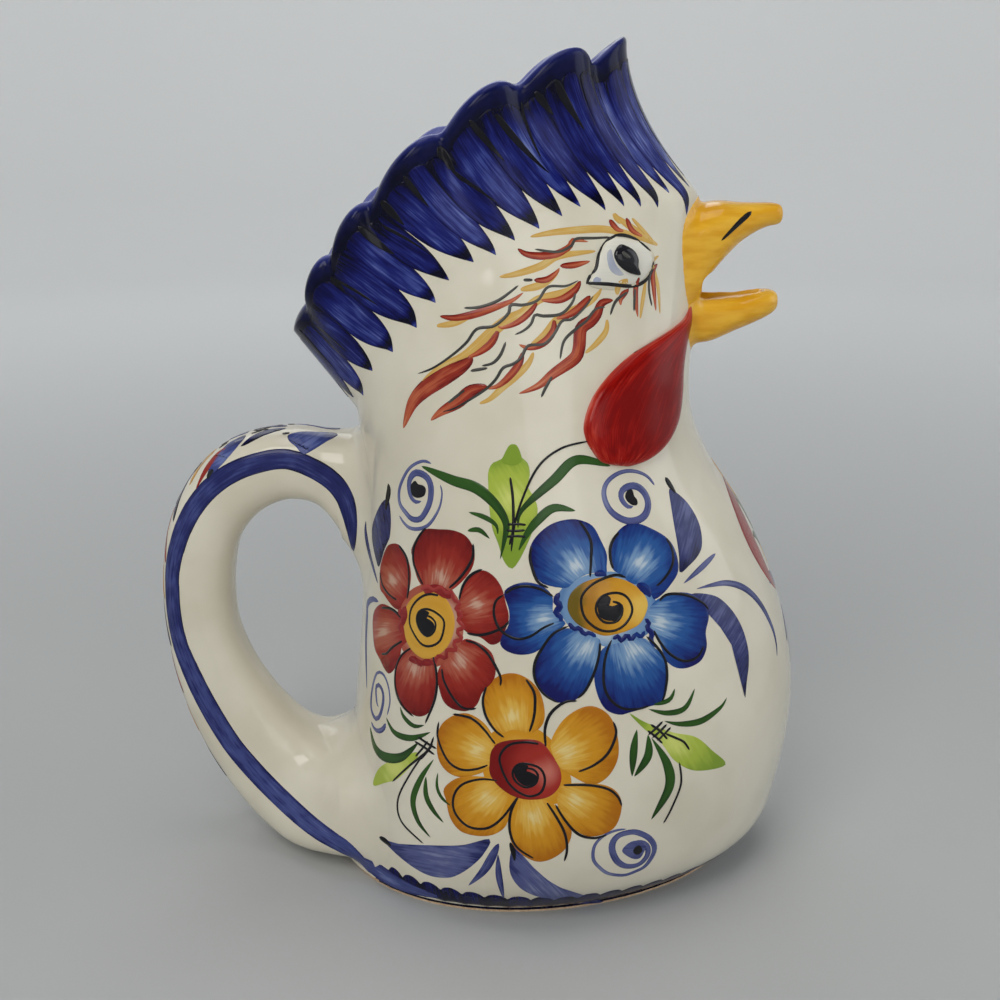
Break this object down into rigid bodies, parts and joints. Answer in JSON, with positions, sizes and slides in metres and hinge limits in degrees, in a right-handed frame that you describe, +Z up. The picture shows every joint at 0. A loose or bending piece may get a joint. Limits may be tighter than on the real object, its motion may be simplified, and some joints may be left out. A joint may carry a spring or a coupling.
{
  "type": "chicken pitcher",
  "caption": "Free-standing rooster-shaped jug in painted, glazed earthenware, with a ruffled comb as its open rim, an open beak as its spout and an ear handle behind.",
  "frame": {"origin": "on the flat face of the foot, below the middle of the belly", "axes": "+Z up, +X towards the beak, +Y towards the bird's left side"},
  "size_m": [0.2418, 0.168, 0.3052],
  "materials": {
    "ivory_glaze": "gloss",
    "cobalt_glaze": "gloss",
    "golden_glaze": "gloss",
    "red_glaze": "gloss",
    "bare_clay": "matte"
  },
  "bodies": {
    "root": {"body": "ivory_glaze", "foot": "bare_clay", "comb": "cobalt_glaze", "upper_beak": "golden_glaze", "lower_beak": "golden_glaze", "wattle_left": "red_glaze", "wattle_right": "red_glaze", "eye_left": "ivory_glaze", "eye_right": "ivory_glaze", "handle": "ivory_glaze"}
  },
  "joints": []
}
